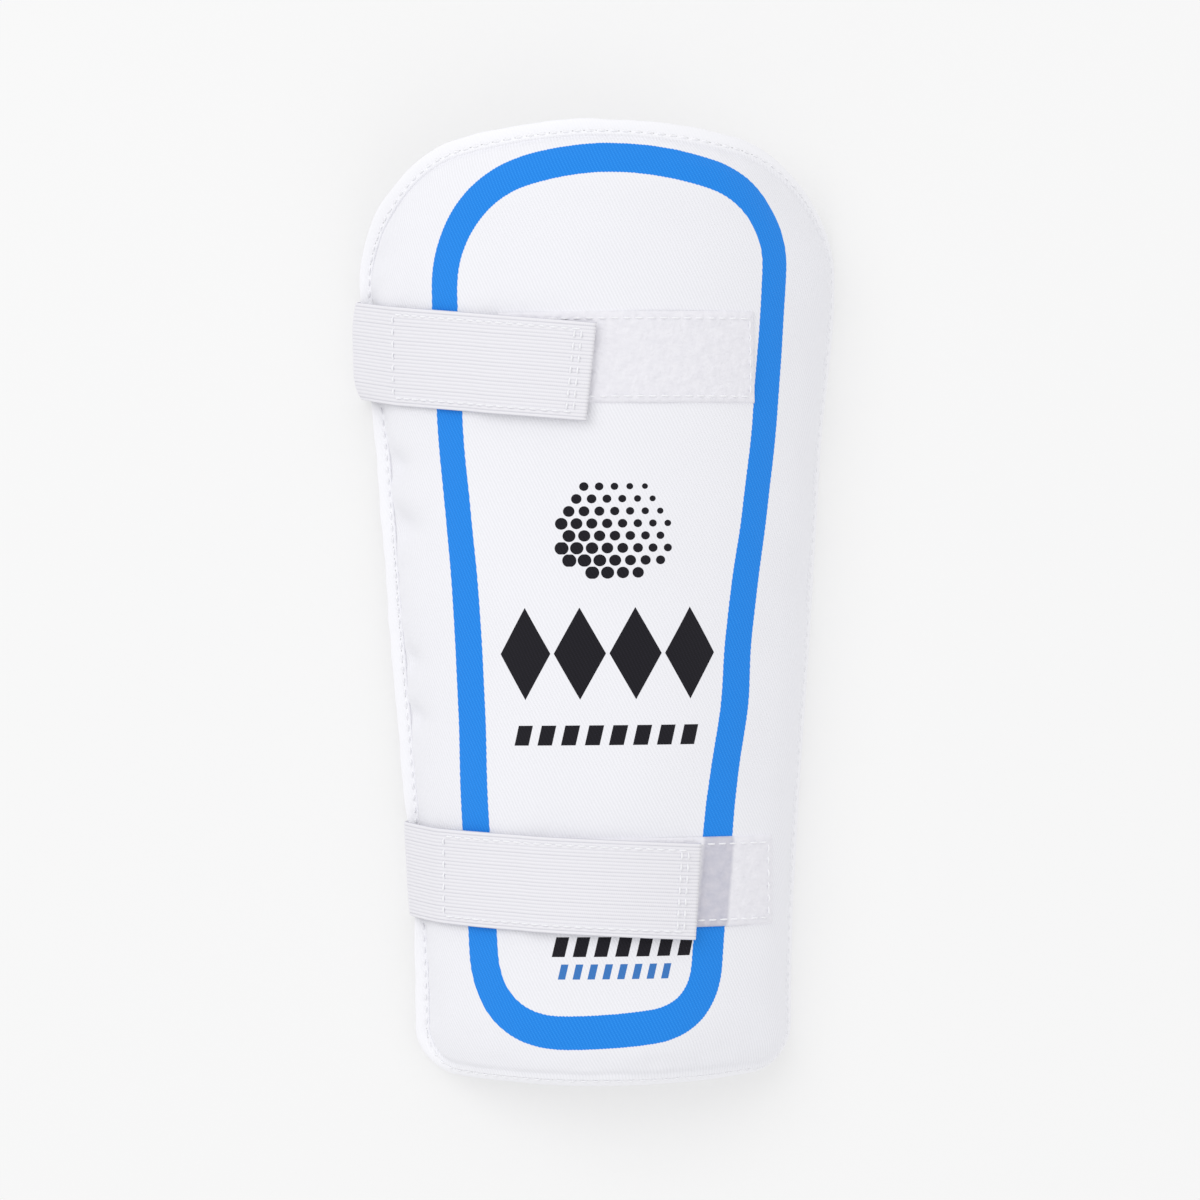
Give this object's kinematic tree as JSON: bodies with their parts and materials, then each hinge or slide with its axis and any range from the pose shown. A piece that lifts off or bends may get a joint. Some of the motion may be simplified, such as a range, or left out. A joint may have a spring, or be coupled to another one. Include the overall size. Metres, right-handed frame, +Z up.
{
  "type": "cricket arm guard",
  "caption": "Padded white forearm guard, gutter-shaped with a sewn rim, a blue frame printed on the front and two elastic straps closing on loop patches.",
  "frame": {"origin": "middle of the underside of the object's own box, on the surface that it lies on", "axes": "+Y along the guard from the wrist end to the elbow end, +Z up out of the front face, +X across, away from the rim that the straps turn round"},
  "size_m": [0.137, 0.267, 0.0506],
  "materials": {
    "cover_twill": "matt twill with a printed blue frame",
    "lining_cloth": "matt knitted cloth",
    "elastic": "ribbed elastic, matt",
    "loop_pile": "brushed loop pile, matt",
    "hook_tape": "hook tape, satin"
  },
  "bodies": {
    "root": {"front_pad": "cover_twill", "back_lining": "lining_cloth", "upper_strap": "elastic", "lower_strap": "elastic", "upper_loop_patch": "loop_pile", "lower_loop_patch": "loop_pile", "upper_hook_tape": "hook_tape", "lower_hook_tape": "hook_tape"}
  },
  "joints": []
}
